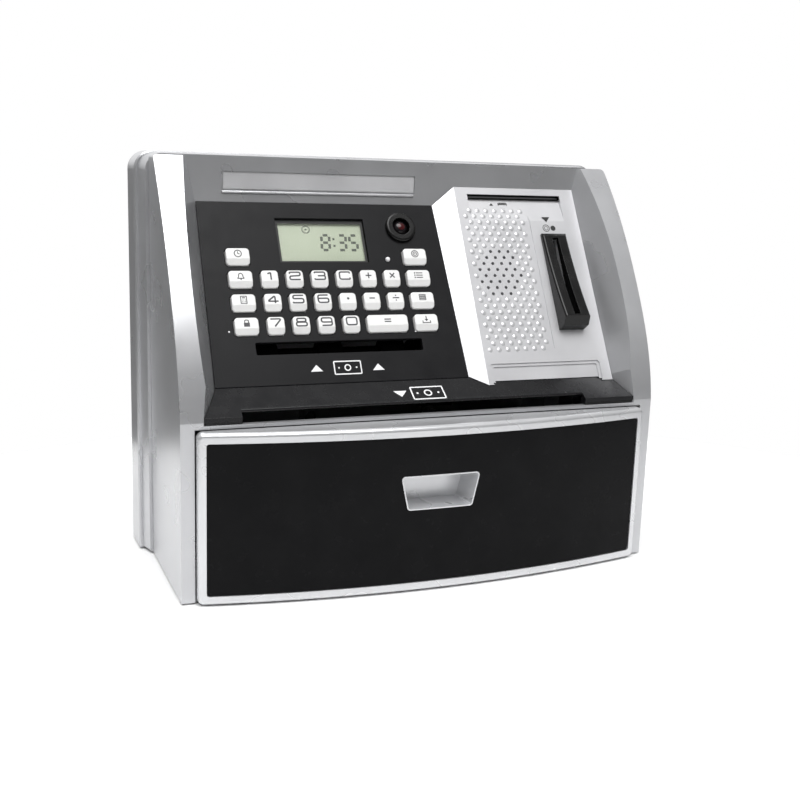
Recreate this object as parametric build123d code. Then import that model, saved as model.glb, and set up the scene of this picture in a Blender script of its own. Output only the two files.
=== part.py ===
from build123d import *
import os
from math import cos, pi, radians, sin, sqrt, tan

# Toy ATM savings bank. Millimetres: +X to the viewer's right, +Y to the back, +Z up.
# The origin is on the table, under the middle of the bounding box.

# Overall size
WIDTH = 254.0
DEPTH = 137.2
HEIGHT = 200.7
FOOT_GAP = 0.9              # the underside stands this far above the table
SCREW_HEAD = 1.2

# Housing
WALL = 2.4
SIDE_X = 121.4              # outer side of the front housing
CHEEK_Y = -52.5             # front of the cheeks beside the drawer
PARTING_Y = 20.2            # the two shells meet here
PARTING_GAP = 0.2           # half of the seam between them
HOUSING_TOP = 199.0
SILL_TOP = 82.6
SILL_BOTTOM = 81.0
OPENING_X = 115.1           # half width of the drawer opening
BEND_Z = 84.0               # the cheeks lean back above this height
HEADER_Y = 10.5             # vertical face above the keypad
HEADER_TOP = 197.7

# Rear shell: a sloped band, then a wider one that is rounded at the back
BAND_A_FRONT = 122.9
BAND_A_BACK = 125.2
BAND_A_Y = 28.5
REAR_ROUND = 22.0
CORNER_ROUND = 9.0

# Keypad plane, leaning back, through its bottom edge
PANEL_TILT = 30.0
PANEL_Y = -36.9
PANEL_Z = 96.0
PANEL_HEIGHT = 94.4
PANEL_THICK = 2.5
PANEL_LEFT_LOW = -102.3
PANEL_LEFT_HIGH = -101.2
PANEL_RIGHT_LOW = 24.2
PANEL_RIGHT_HIGH = 21.2

# Coin panel plane, a little steeper and prouder than the keypad
COIN_TILT = 29.0
COIN_Y = -42.4
COIN_Z = 92.4
COIN_LEFT = 33.3
COIN_SLOT = 3.6

# Drawer
DRAWER_TOP = 80.6
DRAWER_BOTTOM = 0.7
FRONT_X = 114.65
FRONT_END_Y = -56.9
FRONT_BACK_Y = -53.0
TRAY_X = 105.0
TRAY_BACK = 38.0
TRAY_FLOOR = 3.7
TRAY_TOP = 60.0
LATCH_Y = TRAY_BACK + 6.5   # axis of the latch bolt

# Keys
KEY_TRAVEL = 1.2
KEY_RISE = 2.2
KEY_FOLD = -1.2             # up the key, where its slope ends
KEY_GAP = 0.4
KEY_SIZE = (8.3, 8.6)
KEY_WIDE = (11.4, 8.4)
KEY_WIDEST = (12.2, 8.4)
KEY_EQUALS = (21.1, 8.6)
KEY_ROWS = (64.8, 53.1, 41.1, 29.3)
KEY_COLUMNS = (-70.4, -58.0, -45.5, -32.9, -20.5, -8.0)
KEY_LEFT_X = -84.5
KEY_RIGHT_X = 6.2

# Keypad features, across and up the panel
LCD_CENTRE = (-40.7, 74.3)
LCD_SIZE = (45.3, 23.2)
CAMERA_CENTRE = (1.5, 81.4)
LED_CENTRE = (-8.0, 64.0)
FEED_SLOT_CENTRE = (-39.1, 18.5)
FEED_SLOT_SIZE = (84.0, 6.2)

# Banknote feeder behind the slot, in the panel's own directions
FEED_V = 24.0
FEED_W = -21.0
ROLLER_R = 5.0
SHAFT_R = 2.0
ROLLER_PITCH = 10.7
GEAR_MODULE = 0.5
FEED_TEETH = 36
PINION_TEETH = 12
GEAR_X = (10.0, 13.5)
RUN_FIT = 0.05

panel_plane = Plane(
    origin=(0, PANEL_Y, PANEL_Z),
    x_dir=(1, 0, 0),
    z_dir=(0, -cos(radians(PANEL_TILT)), sin(radians(PANEL_TILT))),
)
coin_plane = Plane(
    origin=(0, COIN_Y, COIN_Z),
    x_dir=(1, 0, 0),
    z_dir=(0, -cos(radians(COIN_TILT)), sin(radians(COIN_TILT))),
)


def block(x0, x1, y0, y1, z0, z1):
    """A box between two corners."""
    centre = ((x0 + x1) / 2, (y0 + y1) / 2, (z0 + z1) / 2)
    return Pos(*centre) * Box(x1 - x0, y1 - y0, z1 - z0)


def rod(plane, u, v, w0, w1, radius):
    """A cylinder along a plane's normal."""
    return plane * Pos(u, v, (w0 + w1) / 2) * Cylinder(radius, w1 - w0)


def x_rod(x0, x1, y, z, radius):
    """A cylinder along X."""
    return Pos((x0 + x1) / 2, y, z) * Rot(0, 90, 0) * Cylinder(radius, x1 - x0)


def y_rod(x, z, y0, y1, radius):
    """A cylinder along Y."""
    return Pos(x, (y0 + y1) / 2, z) * Rot(90, 0, 0) * Cylinder(radius, y1 - y0)


def z_rod(x, y, z0, z1, radius):
    """A cylinder along Z."""
    return Pos(x, y, (z0 + z1) / 2) * Cylinder(radius, z1 - z0)


def panel_point(v, w):
    """Y and Z of a point given up the keypad plane and out of it."""
    point = panel_plane.from_local_coords(Vector(0, v, w))
    return point.Y, point.Z


def side_face(inset):
    """The front housing seen from the side: upright, then a crowned slope to the top."""
    slope = Spline(
        (CHEEK_Y, BEND_Z),
        (-46.8, 109.0),
        (-33.5, 138.3),
        (-15.8, 168.0),
        (8.6, HOUSING_TOP),
    )
    points = []
    for step in range(9):
        place = slope @ (step / 8)
        along = slope % (step / 8)
        points.append((place.X + inset * along.Y, place.Y - inset * along.X))
    crown = Spline(*points)
    first, last = crown @ 0, crown @ 1
    back, bottom, top = PARTING_Y - PARTING_GAP - inset, FOOT_GAP + inset, HOUSING_TOP - inset
    outline = crown + Polyline(
        (last.X, last.Y), (back, last.Y), (back, bottom), (first.X, bottom), (first.X, first.Y)
    )
    below_top = Pos(0, top - 150) * Rectangle(200, 300)
    return Plane.YZ * (make_face(outline) & below_top)


def tray_recess(gap, depth, back_y):
    """The sunk tray: slanted side walls that open outward from the keypad plane."""
    low_v, high_v = -30.0, 125.0
    low_x, high_x = 103.5 - gap, 101.0 - gap
    flare = 0.5 * 45.0
    sink = 0.5 * depth
    floor_low, floor_high = low_x - sink, high_x - sink
    mouth_low, mouth_high = low_x + flare, high_x + flare
    floor = Polygon(
        (-floor_low, low_v), (floor_low, low_v), (floor_high, high_v), (-floor_high, high_v), align=None
    )
    mouth = Polygon(
        (-mouth_low, low_v), (mouth_low, low_v), (mouth_high, high_v), (-mouth_high, high_v), align=None
    )
    solid = loft([panel_plane * Pos(0, 0, -depth) * floor, panel_plane * Pos(0, 0, 45.0) * mouth], ruled=True)
    return solid & block(-140, 140, -120, back_y, SILL_TOP, 230)


def ledge_well(gap):
    """Upright side walls that flare out to the front on both sides of the ledge."""
    back_x, front_x = 102.6 - gap, 115.1 - gap
    outline = Polygon((-back_x, -36.9), (-front_x, -60), (front_x, -60), (back_x, -36.9), align=None)
    return Pos(0, 0, SILL_TOP) * extrude(outline, 99.0 - SILL_TOP)


def ledge_normal_plane():
    """The plane of the sloping ledge in front of the keypad."""
    run_y, rise_z = -52.9 - PANEL_Y, 85.6 - PANEL_Z
    slope = Vector(0, -run_y, -rise_z).normalized()
    normal = Vector(0, -slope.Z, slope.Y)
    return Plane(origin=(0, PANEL_Y, PANEL_Z), x_dir=(1, 0, 0), z_dir=normal)


ledge_plane = ledge_normal_plane()
BASE_BOSSES = [(x, y) for x in (-112.5, 112.5) for y in (-38.0, 12.0)]
REAR_BOSSES = [(-111.0, 28.0), (111.0, 28.0), (-112.0, 110.0), (112.0, 110.0), (-100.0, 188.0), (100.0, 188.0)]


def front_housing():
    outer = extrude(side_face(0), SIDE_X, both=True)
    inner = extrude(side_face(WALL), SIDE_X - WALL, both=True)
    inner += block(-SIDE_X + WALL, SIDE_X - WALL, 12, PARTING_Y + 5, -5, HOUSING_TOP - WALL)
    inner += block(-SIDE_X + WALL, SIDE_X - WALL, CHEEK_Y + WALL, PARTING_Y + 5, -5, 60)
    skin = tray_recess(-WALL, PANEL_THICK + WALL + 0.4, HEADER_Y + WALL) + ledge_well(-WALL)
    shell = (outer - inner) + (skin & inner)
    shell += block(-SIDE_X + 1, SIDE_X - 1, CHEEK_Y, -49.6, SILL_BOTTOM, SILL_TOP)
    # The recess itself, then the hole that the backs of the two panels look through
    shell -= tray_recess(0, PANEL_THICK + 0.4, HEADER_Y) + ledge_well(0)
    shell -= panel_plane * Pos(1.0, 48.5, -10) * Box(194, 89, 30)
    shell -= block(-97, 97, -46, -25, SILL_TOP, 88)
    shell -= block(-OPENING_X, OPENING_X, -80, -40, -5, SILL_BOTTOM)
    shell -= nameplate_recess()
    edges = [edge for edge in shell.edges().filter_by(Axis.Y) if edge.center().Z > HOUSING_TOP - 0.01]
    shell = fillet([edge for edge in edges if abs(edge.center().X) > SIDE_X - 0.01], 2.0)
    for x, y in BASE_BOSSES:
        side_x = SIDE_X - WALL if x > 0 else -SIDE_X + WALL
        shell += z_rod(x, y, 3.3, 18, 4.0)
        shell += block(min(x, side_x), max(x, side_x), y - 1, y + 1, 3.3, 18)
        shell -= z_rod(x, y, 3.0, 15, 1.55)
    for x, z in REAR_BOSSES:
        front_y = HEADER_Y + WALL if z > 150 else 2.0
        shell += y_rod(x, z, front_y, PARTING_Y - PARTING_GAP, 4.0)
        side_x = SIDE_X - WALL if x > 0 else -SIDE_X + WALL
        shell += block(min(x, side_x), max(x, side_x), front_y, PARTING_Y - 1, z - 1, z + 1)
        shell -= y_rod(x, z, front_y + 1.5, PARTING_Y + 1, 1.55)
    return shell


def nameplate_recess():
    """The blank name plate: a shallow window with a stepped lower edge."""
    window = block(-88.0, 11.6, HEADER_Y - 2, HEADER_Y + 1.1, 183.6, 192.2)
    step = block(-88.6, 11.0, HEADER_Y - 2, HEADER_Y + 0.5, 181.4, 186.0)
    return window + step


def rear_outline(half, bottom, top, corner):
    """A cross-section of the rear shell, rounded at its top corners."""
    shape = Rectangle(2 * half, top - bottom)
    corners = shape.vertices().sort_by(Axis.Y)
    shape = fillet(corners[2:], corner)
    shape = fillet(shape.vertices().sort_by(Axis.Y)[:2], 2.0)
    return Pos(0, (top + bottom) / 2) * shape


def rear_plane(y):
    """An upright plane whose X is the row's X and whose normal looks to the front."""
    return Plane(origin=(0, y, 0), x_dir=(1, 0, 0), z_dir=(0, -1, 0))


def rear_band(y0, y1, half0, half1, top0, top1, corner):
    """One band of the rear shell between two upright sections."""
    first = rear_plane(y0) * rear_outline(half0, FOOT_GAP, top0, corner)
    second = rear_plane(y1) * rear_outline(half1, FOOT_GAP, top1, corner)
    return loft([first, second])


def rear_block(inset, y0):
    """The wide rear band as a block from y0 back, round along its back corners and its top."""
    back_y, half, top = DEPTH / 2 - inset, WIDTH / 2 - inset, HEIGHT - inset
    low = FOOT_GAP + inset
    plan = Pos(0, (y0 + back_y) / 2) * Rectangle(2 * half, back_y - y0)
    plan = fillet(plan.vertices().group_by(Axis.Y)[-1], REAR_ROUND - inset)
    solid = Pos(0, 0, low) * extrude(plan, top - low)
    rim = [edge for edge in solid.edges() if edge.center().Z > top - 0.01 and edge.center().Y > y0 + 0.01]
    solid = fillet(rim, CORNER_ROUND - inset / 2)
    sole = [edge for edge in solid.edges() if edge.center().Z < low + 0.01 and edge.center().Y > y0 + 0.01]
    return fillet(sole, 1.2)


def rear_housing():
    back_y = DEPTH / 2
    front_y = PARTING_Y + PARTING_GAP
    wide = rear_block(0, BAND_A_Y)
    front_edges = wide.faces().sort_by(Axis.Y)[0].edges()
    wide = chamfer([edge for edge in front_edges if edge.center().Z > 10.0], 0.7)
    band = rear_band(front_y, BAND_A_Y, BAND_A_FRONT, BAND_A_BACK, HEIGHT - 1.1, HEIGHT - 0.5, CORNER_ROUND - 1)
    shell = wide + band
    inner = rear_block(WALL, BAND_A_Y + 1.5)
    inner += block(-118.9, 118.9, 15, BAND_A_Y + 3, FOOT_GAP + WALL, HOUSING_TOP - WALL)
    shell -= inner
    posts = block(-20, 20, back_y - 2, back_y - 1.5, 100, 110)
    for x, z in REAR_BOSSES:
        side_x = WIDTH / 2 - WALL if x > 0 else -WIDTH / 2 + WALL
        posts += y_rod(x, z, front_y + 0.4, back_y - 1, 4.2)
        posts += block(min(x, side_x), max(x, side_x), 34, back_y - 1, z - 1, z + 1)
    shell += posts & rear_block(1.0, 15)
    for x, z in REAR_BOSSES:
        shell -= y_rod(x, z, 0, 100, 1.8)
        shell -= y_rod(x, z, back_y - 14, back_y + 5, 3.3)
    # Battery hatch with its recess
    shell -= block(-94.4, -35.6, back_y - 1.8, back_y + 1, 18.6, 69.4)
    shell -= block(-90, -40, back_y - 5, back_y, 23, 65)
    # Sound slots at the back, behind the loudspeaker
    for row in range(5):
        z = 120 + 6 * row
        shell -= block(35, 65, back_y - 5, back_y + 1, z, z + 2)
    for x in (-104, 104):
        shell -= z_rod(x, 56, 0, FOOT_GAP + 0.7, 6.1)
    return shell


def base_plate():
    plate = block(-118.4, 118.4, CHEEK_Y + WALL + 0.2, PARTING_Y - 0.6, FOOT_GAP, 3.1)
    plate += block(-114.6, 114.6, CHEEK_Y + 1.2, -45.0, FOOT_GAP, 3.1)
    for x0 in (-107.6, 106.2):
        plate += block(x0, x0 + 1.4, CHEEK_Y + 3, PARTING_Y - 2, 3.1, 9)
    for x, y in BASE_BOSSES:
        plate -= z_rod(x, y, 0, 5, 1.8)
        plate -= z_rod(x, y, 0, FOOT_GAP + SCREW_HEAD, 3.3)
    for x in (-104, 104):
        plate -= z_rod(x, -40, 0, FOOT_GAP + 0.7, 6.1)
    for number in range(6):
        y = -30 + 7 * number
        plate -= block(-40, 40, y, y + 2, 0, 4)
    return plate


def keys():
    """Name, place and size of every key on the panel."""
    left = ["time", "alarm", "calculator", "password"]
    right = ["target", "balance", "total", "withdraw"]
    grid = [
        ["one", "two", "three", "clear", "plus", "times"],
        ["four", "five", "six", "point", "minus", "divide"],
        ["seven", "eight", "nine", "zero"],
    ]
    layout = {}
    for row, v in enumerate(KEY_ROWS):
        layout["key_" + left[row]] = (KEY_LEFT_X, v, KEY_WIDE)
        layout["key_" + right[row]] = (KEY_RIGHT_X, v, KEY_WIDEST)
    for row, names in enumerate(grid):
        for column, name in enumerate(names):
            layout["key_" + name] = (KEY_COLUMNS[column], KEY_ROWS[row + 1], KEY_SIZE)
    middle = (KEY_COLUMNS[4] + KEY_COLUMNS[5]) / 2
    layout["key_equals"] = (middle, KEY_ROWS[3], KEY_EQUALS)
    return layout


def key_cap(x, v, size):
    """A cap with a level upper part and a slope to its lower edge, and a flange behind the panel."""
    low = -size[1] / 2
    cap = Pos(0, 0, -3.0) * extrude(RectangleRounded(size[0], size[1], 1.7), 3.0 + KEY_RISE)
    wedge = Polygon((low - 1.0, KEY_RISE - 1.75), (KEY_FOLD, KEY_RISE), (KEY_FOLD, 9), (low - 1.0, 9), align=None)
    cap -= extrude(Plane.YZ * wedge, 30, both=True)
    cap = fillet(cap.faces().filter_by(lambda face: face.normal_at().Z > 0.5).edges(), 0.55)
    flange = Pos(0, 0, -3.5) * Box(size[0] + 1.8, size[1] + 1.8, 1.0)
    return panel_plane * Pos(x, v, 0) * (cap + flange)


def key_hole(x, v, size):
    hole = extrude(RectangleRounded(size[0] + 2 * KEY_GAP, size[1] + 2 * KEY_GAP, 1.9), 8, both=True)
    return panel_plane * Pos(x, v, 0) * hole


def keypad_panel():
    outline = Polygon(
        (PANEL_LEFT_LOW, 0.3),
        (PANEL_RIGHT_LOW, 0.3),
        (PANEL_RIGHT_HIGH, PANEL_HEIGHT),
        (PANEL_LEFT_HIGH, PANEL_HEIGHT),
        align=None,
    )
    plate = panel_plane * extrude(outline, -PANEL_THICK)
    for x, v, size in keys().values():
        plate -= key_hole(x, v, size)
    plate -= panel_plane * Pos(*LCD_CENTRE, 0) * Box(LCD_SIZE[0] + 0.3, LCD_SIZE[1] + 0.3, 10)
    plate -= rod(panel_plane, *CAMERA_CENTRE, -8, 2, 7.15)
    plate -= rod(panel_plane, *LED_CENTRE, -8, 2, 1.3)
    slot = extrude(RectangleRounded(*FEED_SLOT_SIZE, 0.8), 6, both=True)
    plate -= panel_plane * Pos(*FEED_SLOT_CENTRE, 0) * slot
    return plate & tray_recess(0.35, PANEL_THICK, HEADER_Y - 0.2)


def lcd_window():
    glass = Box(LCD_SIZE[0], LCD_SIZE[1], 1.0)
    return panel_plane * Pos(*LCD_CENTRE, -2.1) * glass


def lcd_module():
    cell = Pos(0, 0, -3.9) * Box(LCD_SIZE[0] + 5, LCD_SIZE[1] + 0.6, 0.5)
    cell += Pos(0, 0, -3.15) * Box(LCD_SIZE[0] - 0.4, LCD_SIZE[1] - 0.4, 1.0)
    carrier = Pos(0, 0, -5.5) * Box(LCD_SIZE[0] - 6, LCD_SIZE[1] - 6, 2.9)
    return panel_plane * Pos(*LCD_CENTRE, 0) * (cell + carrier)


def camera_bezel():
    flange = Pos(0, 0, 1.1) * Cylinder(8.0, 2.2)
    flange = fillet(flange.edges().sort_by(Axis.Z)[-1], 1.2)
    barrel = Pos(0, 0, -2.5) * Cylinder(7.0, 5.0)
    bore = Pos(0, 0, 0) * Cylinder(4.6, 20)
    return panel_plane * Pos(*CAMERA_CENTRE, 0) * (flange + barrel - bore)


def camera_dome():
    dome = Pos(0, 0, -2.2) * Sphere(4.5)
    stem = Pos(0, 0, -3.6) * Cylinder(4.5, 2.8)
    upper = Pos(0, 0, 5) * Box(20, 20, 19.2)
    return panel_plane * Pos(*CAMERA_CENTRE, 0) * ((dome & upper) + stem)


def status_led():
    lens = Pos(0, 0, 0.1) * Sphere(1.2) + Pos(0, 0, -1.5) * Cylinder(1.2, 3.2)
    collar = Pos(0, 0, -3.3) * Cylinder(1.8, 0.8)
    return panel_plane * Pos(*LED_CENTRE, 0) * (lens + collar)


def key_mat():
    """The rubber mat with a hollow dome under each key."""
    mat = panel_plane * Pos(-39.2, 47.3, -6.6) * Box(106.0, 46.4, 0.6)
    mat -= panel_plane * Pos(LCD_CENTRE[0], 74.3, -6.6) * Box(LCD_SIZE[0], 20, 3)
    for x, v, size in keys().values():
        dome = Pos(0, 0, -5.9) * Cylinder(2.6, 0.8)
        mat += panel_plane * Pos(x, v, 0) * dome
    return mat


def circuit_board():
    board = panel_plane * Pos(-39.4, 57.8, -8.0) * Box(117.0, 67.6, 1.6)
    chips = [(-75, 78, 12, 12), (-40, 50, 16, 10), (-60, 34, 8, 6), (-5, 46, 10, 14), (8, 66, 6, 9)]
    for x, v, width, height in chips:
        board += panel_plane * Pos(x, v, -9.5) * Box(width, height, 1.4)
    for number in range(4):
        board += rod(panel_plane, -90 + 5 * number, 62, -14, -8.8, 2.0)
    return board


def bill_ledge():
    """The dark sloping ledge, cut back and rolled over where banknotes go in."""
    slab = ledge_plane * Pos(0, -12, -0.8) * Box(240, 24, 1.6)
    lip_end = block(-130, 130, CHEEK_Y + 0.6, -48.0, SILL_TOP + 0.3, 88)
    slab += lip_end & (ledge_plane * Pos(0, -14, -10) * Box(240, 28, 20))
    slab &= tray_recess(0.35, PANEL_THICK, 0) + ledge_well(0.35)
    slab &= block(-130, 130, CHEEK_Y + 0.1, 0, 80, 120)
    slab -= block(-93.5, 82.5, -60, -48.0, 80, 91)
    lip_y, lip_z = -47.9, 88.75 - 0.95
    rolled = x_rod(-93.5, 82.5, lip_y, lip_z, 0.95)
    return slab + rolled


def coin_front_limit(shift):
    """Everything in front of the coin panel's face, moved by shift."""
    return coin_plane * Pos(60, 40, 30 + shift) * Box(240, 260, 60)


def coin_flank(v):
    """At one height, what the slanted flank and the keypad's edge leave free on the left."""
    foot = PANEL_RIGHT_LOW + 0.3 + (PANEL_RIGHT_HIGH - PANEL_RIGHT_LOW) * v / PANEL_HEIGHT
    rise = 3.12 + 0.01745 * v
    outline = Polygon(
        (-80, -12), (foot, -12), (foot, 0), (COIN_LEFT + 0.15, rise), (COIN_LEFT + 0.15, 40), (-80, 40), align=None
    )
    y, z = panel_point(v, 0)
    tilt = radians(PANEL_TILT)
    return Plane(origin=(0, y, z), x_dir=(1, 0, 0), z_dir=(0, -sin(tilt), -cos(tilt))) * outline


def coin_panel():
    body = panel_plane * Pos(65, 62, 5) * Box(90, 140, 15.0)
    body &= tray_recess(0.35, PANEL_THICK, HEADER_Y - 0.2)
    body -= coin_front_limit(0)
    body -= loft([coin_flank(-25), coin_flank(125)], ruled=True)
    body -= ledge_plane * Pos(0, 0, -50 + 0.3) * Box(400, 200, 100)
    body = body.solids().sort_by(SortBy.VOLUME)[-1]
    # Sunk panel at the foot, with a narrow outer step
    body -= coin_plane * Pos(67.1, 6.0, 0) * extrude(RectangleRounded(62.8, 11.0, 1.6), 0.6, both=True)
    body -= coin_plane * Pos(67.1, 5.7, 0) * extrude(RectangleRounded(59.6, 8.6, 0.8), 1.2, both=True)
    # Hollow back
    body -= coin_plane * Pos(67.0, 58, -12.4) * Box(63, 88, 20)
    # Card slot and the scoop below it
    body -= coin_plane * Pos(67.6, 103.9, 0) * Box(54.8, 2.0, 12)
    body -= card_scoop()
    # Speaker holes in offset rows
    for x, v in speaker_holes():
        body -= rod(coin_plane, x, v, -6, 3, 0.85)
    # Groove beside the studded field
    body -= coin_plane * Pos(73.6, 57, 0) * Box(0.9, 77, 0.9)
    # Coin slot
    body -= coin_plane * Pos(85.9, 56.5, 0) * Box(COIN_SLOT + 0.2, 46.0, 20)
    return body


def card_scoop():
    """A shallow slope that leads a card up into its slot."""
    wedge = Polygon((90.0, 0.0), (103.2, 0.0), (103.2, -2.0), align=None)
    profile = Plane(origin=(0, 0, 0), x_dir=(0, 1, 0), z_dir=(1, 0, 0)) * wedge
    return coin_plane * Pos(40.2, 0, 0) * extrude(profile, 54.8, dir=(1, 0, 0))


def speaker_holes():
    """Holes of the grille: staggered rows, each with its height, first hole and number of holes."""
    rows = [
        (72.4, 47.77, 3), (69.0, 44.92, 4), (65.7, 42.75, 4), (62.35, 39.9, 5),
        (59.0, 42.75, 5), (55.7, 39.9, 5), (52.4, 42.75, 4), (49.0, 44.92, 3),
    ]
    return [(first + 5.02 * number, v) for v, first, count in rows for number in range(count)]


def coin_bezel():
    """A wedge that grows prouder downward, with a channel that ends in the slot."""
    face = Spline((80.6, 2.4), (56.0, 4.9), (33.0, 9.4))
    outline = face + Polyline((33.0, 9.4), (28.9, 5.6), (28.4, 0), (82.0, 0), (82.0, 1.6), (80.6, 2.4))
    side = make_face(Plane(origin=(0, 0, 0), x_dir=(0, 1, 0), z_dir=(1, 0, 0)) * outline)
    wedge = Pos(78.8, 0, 0) * extrude(side, 14.4, dir=(1, 0, 0))
    long_edges = [edge for edge in wedge.edges() if edge.length > 40 and edge.center().Z > 3]
    wedge = fillet(long_edges, 1.1)
    wedge -= Pos(85.9, 56.5, 0) * Box(COIN_SLOT, 45.6, 40)
    return coin_plane * wedge


def coin_chute():
    """A flat duct from behind the coin slot down to the drawer."""
    duct = Polyline(
        (-25.4, 116.8),
        (-0.2, 162.4),
        (21.9, 150.5),
        (12.0, 100.0),
        (12.0, 66.0),
        (-12.0, 66.0),
        (-12.0, 100.0),
        (-25.4, 116.8),
    )
    inside = Polyline(
        (-30.0, 118.4),
        (-3.2, 166.6),
        (19.8, 149.3),
        (10.2, 100.2),
        (10.2, 60.0),
        (-10.2, 60.0),
        (-10.2, 100.6),
        (-22.8, 116.4),
        (-30.0, 118.4),
    )
    outer = Pos(81.8, 0, 0) * extrude(make_face(Plane.YZ * duct), 9.0, dir=(1, 0, 0))
    inner = Pos(83.6, 0, 0) * extrude(make_face(Plane.YZ * inside), 5.4, dir=(1, 0, 0))
    chute = outer - inner
    chute -= block(88, 92, -5.2, -1.2, 101, 112)
    for y0 in (-7.4, -0.9):
        chute += block(90.7, 97, y0, y0 + 1.5, 106, 112)
    chute += y_rod(94.5, 109, -7.0, 0.4, 1.0)
    return chute


def coin_lever():
    """The feeler that each passing coin knocks down."""
    lever = block(84.6, 94, -4.0, -2.4, 108.2, 109.8)
    lever += y_rod(94.5, 109, -5.6, -1.2, 2.0)
    return lever - y_rod(94.5, 109, -8, 1, 1.0 + RUN_FIT)


def speaker():
    x, v = 51.3, 60.6
    frame = Cylinder(14.5, 1.2) + Pos(0, 0, -2.5) * Cone(8.0, 13.5, 4.0) + Pos(0, 0, -6.5) * Cylinder(9.0, 5.0)
    frame -= Pos(0, 0, 0.9) * Cone(5.0, 12.5, 2.6)
    return coin_plane * Pos(x, v, -3.4) * frame


def gear(teeth, face_x, bore):
    """A spur gear on the X axis with plain straight-sided teeth."""
    pitch_r = GEAR_MODULE * teeth / 2
    root_r = pitch_r - 1.2 * GEAR_MODULE
    tip_r = pitch_r + 0.9 * GEAR_MODULE
    pitch_half = 0.42 * pi * GEAR_MODULE / 2
    wheel = Circle(root_r)
    tooth = Polygon(
        (root_r - 0.3, -1.5 * pitch_half),
        (tip_r, -0.45 * pitch_half),
        (tip_r, 0.45 * pitch_half),
        (root_r - 0.3, 1.5 * pitch_half),
        align=None,
    )
    for number in range(teeth):
        wheel += Rot(0, 0, 360 * number / teeth) * tooth
    if bore:
        wheel -= Circle(bore)
    return Plane(origin=(face_x[0], 0, 0), x_dir=(0, 1, 0), z_dir=(1, 0, 0)) * extrude(
        wheel, face_x[1] - face_x[0]
    )


def feed_centres():
    """Y and Z of the feed shaft, the pinch shaft and the motor shaft."""
    motor_w = FEED_W - GEAR_MODULE * (FEED_TEETH + PINION_TEETH) / 2 - 0.1
    return (
        panel_point(FEED_V, FEED_W),
        panel_point(FEED_V - ROLLER_PITCH, FEED_W),
        panel_point(FEED_V, motor_w),
    )


def feed_shaft():
    y, z = feed_centres()[0]
    shaft = x_rod(-94.0, 14.0, y, z, SHAFT_R)
    return shaft + Pos(0, y, z) * Rot(90 - PANEL_TILT, 0, 0) * gear(FEED_TEETH, GEAR_X, 0)


def feed_rollers():
    y, z = feed_centres()[0]
    rollers = [x_rod(x - 6, x + 6, y, z, ROLLER_R) - x_rod(x - 7, x + 7, y, z, SHAFT_R) for x in (-72, -39, -6)]
    return Compound(rollers)


def pinch_roller():
    y, z = feed_centres()[1]
    shaft = x_rod(-94.0, 9.6, y, z, SHAFT_R)
    for x in (-72, -39, -6):
        shaft += x_rod(x - 6, x + 6, y, z, ROLLER_R)
    return shaft


def motor_pinion():
    y, z = feed_centres()[2]
    half_tooth = 180 / PINION_TEETH
    pinion = Rot(90 - PANEL_TILT + half_tooth, 0, 0) * gear(PINION_TEETH, GEAR_X, 0)
    return Pos(0, y, z) * pinion + x_rod(9.0, 34.0, y, z, 1.0)


def feed_motor():
    y, z = feed_centres()[2]
    can = x_rod(16.3, 38.0, y, z, 9.0) - x_rod(10, 35, y, z, 1.0 + RUN_FIT)
    can = fillet(can.edges().filter_by(GeomType.CIRCLE).group_by(Axis.X)[-1], 1.0)
    for side in (-1, 1):
        can += block(38.0, 40.0, y + side * 5 - 0.5, y + side * 5 + 0.5, z - 1.5, z + 1.5)
    return can


def feeder_frame():
    """Two bearing plates, a cross bar and the motor's own plate."""
    frame = panel_plane * Pos(-92, 17.5, -27) * Box(2, 27, 34)
    frame += panel_plane * Pos(8, 17.5, -27) * Box(2, 27, 34)
    frame += panel_plane * Pos(-42, 5.5, -42.8) * Box(102, 3, 2.4)
    frame += panel_plane * Pos(15.5, 22, -34) * Box(1.6, 18, 16)
    frame += panel_plane * Pos(11.6, 22, -43) * Box(9.4, 18, 2)
    for x in (-92, 8):
        frame += panel_plane * Pos(x, 13, -6.5) * Box(2, 12, 8.0)
    centres = feed_centres()
    for y, z in centres[:2]:
        frame -= x_rod(-95, 9.5, y, z, SHAFT_R + RUN_FIT)
    y, z = centres[2]
    frame -= x_rod(12, 20, y, z, 2.5)
    return frame


def bowed_slab(radius_drop, thick, half_x, z0, z1):
    """A slab between two arcs about the drawer front's own centre."""
    sagitta = DEPTH / 2 + FRONT_END_Y
    radius = (FRONT_X**2 + sagitta**2) / (2 * sagitta)
    centre_y = radius - DEPTH / 2
    ring = Circle(radius - radius_drop) - Circle(radius - radius_drop - thick)
    flat = (Pos(0, centre_y) * ring) & (Pos(0, -DEPTH / 2 + 20) * Rectangle(2 * half_x, 60))
    return Pos(0, 0, z0) * extrude(flat, z1 - z0)


def rounded_pane(half_x, z0, z1):
    """A tall block with rounded corners as seen from the front."""
    pane = RectangleRounded(2 * half_x, z1 - z0, 1.3)
    return extrude(rear_plane(-40) * Pos(0, (z0 + z1) / 2) * pane, 60)


def pull_section(half_low, half_high, half_z, grow):
    """One upright section of the finger pull, wider at the top."""
    low, high, tall = half_low + grow, half_high + grow, half_z + grow
    shape = Polygon((-low, -tall), (low, -tall), (high, tall), (-high, tall), align=None)
    return fillet(shape.vertices(), 1.2 + grow)


def pull_solid(grow, back_y):
    """The finger pull: a flared pocket that narrows to its back wall."""
    near = rear_plane(-72.0) * Pos(-2.4, 48.8) * pull_section(16.4, 20.2, 7.9, grow)
    far = rear_plane(back_y) * Pos(-2.4, 48.8) * pull_section(14.4, 17.6, 6.9, grow)
    return loft([near, far], ruled=True)


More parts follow.
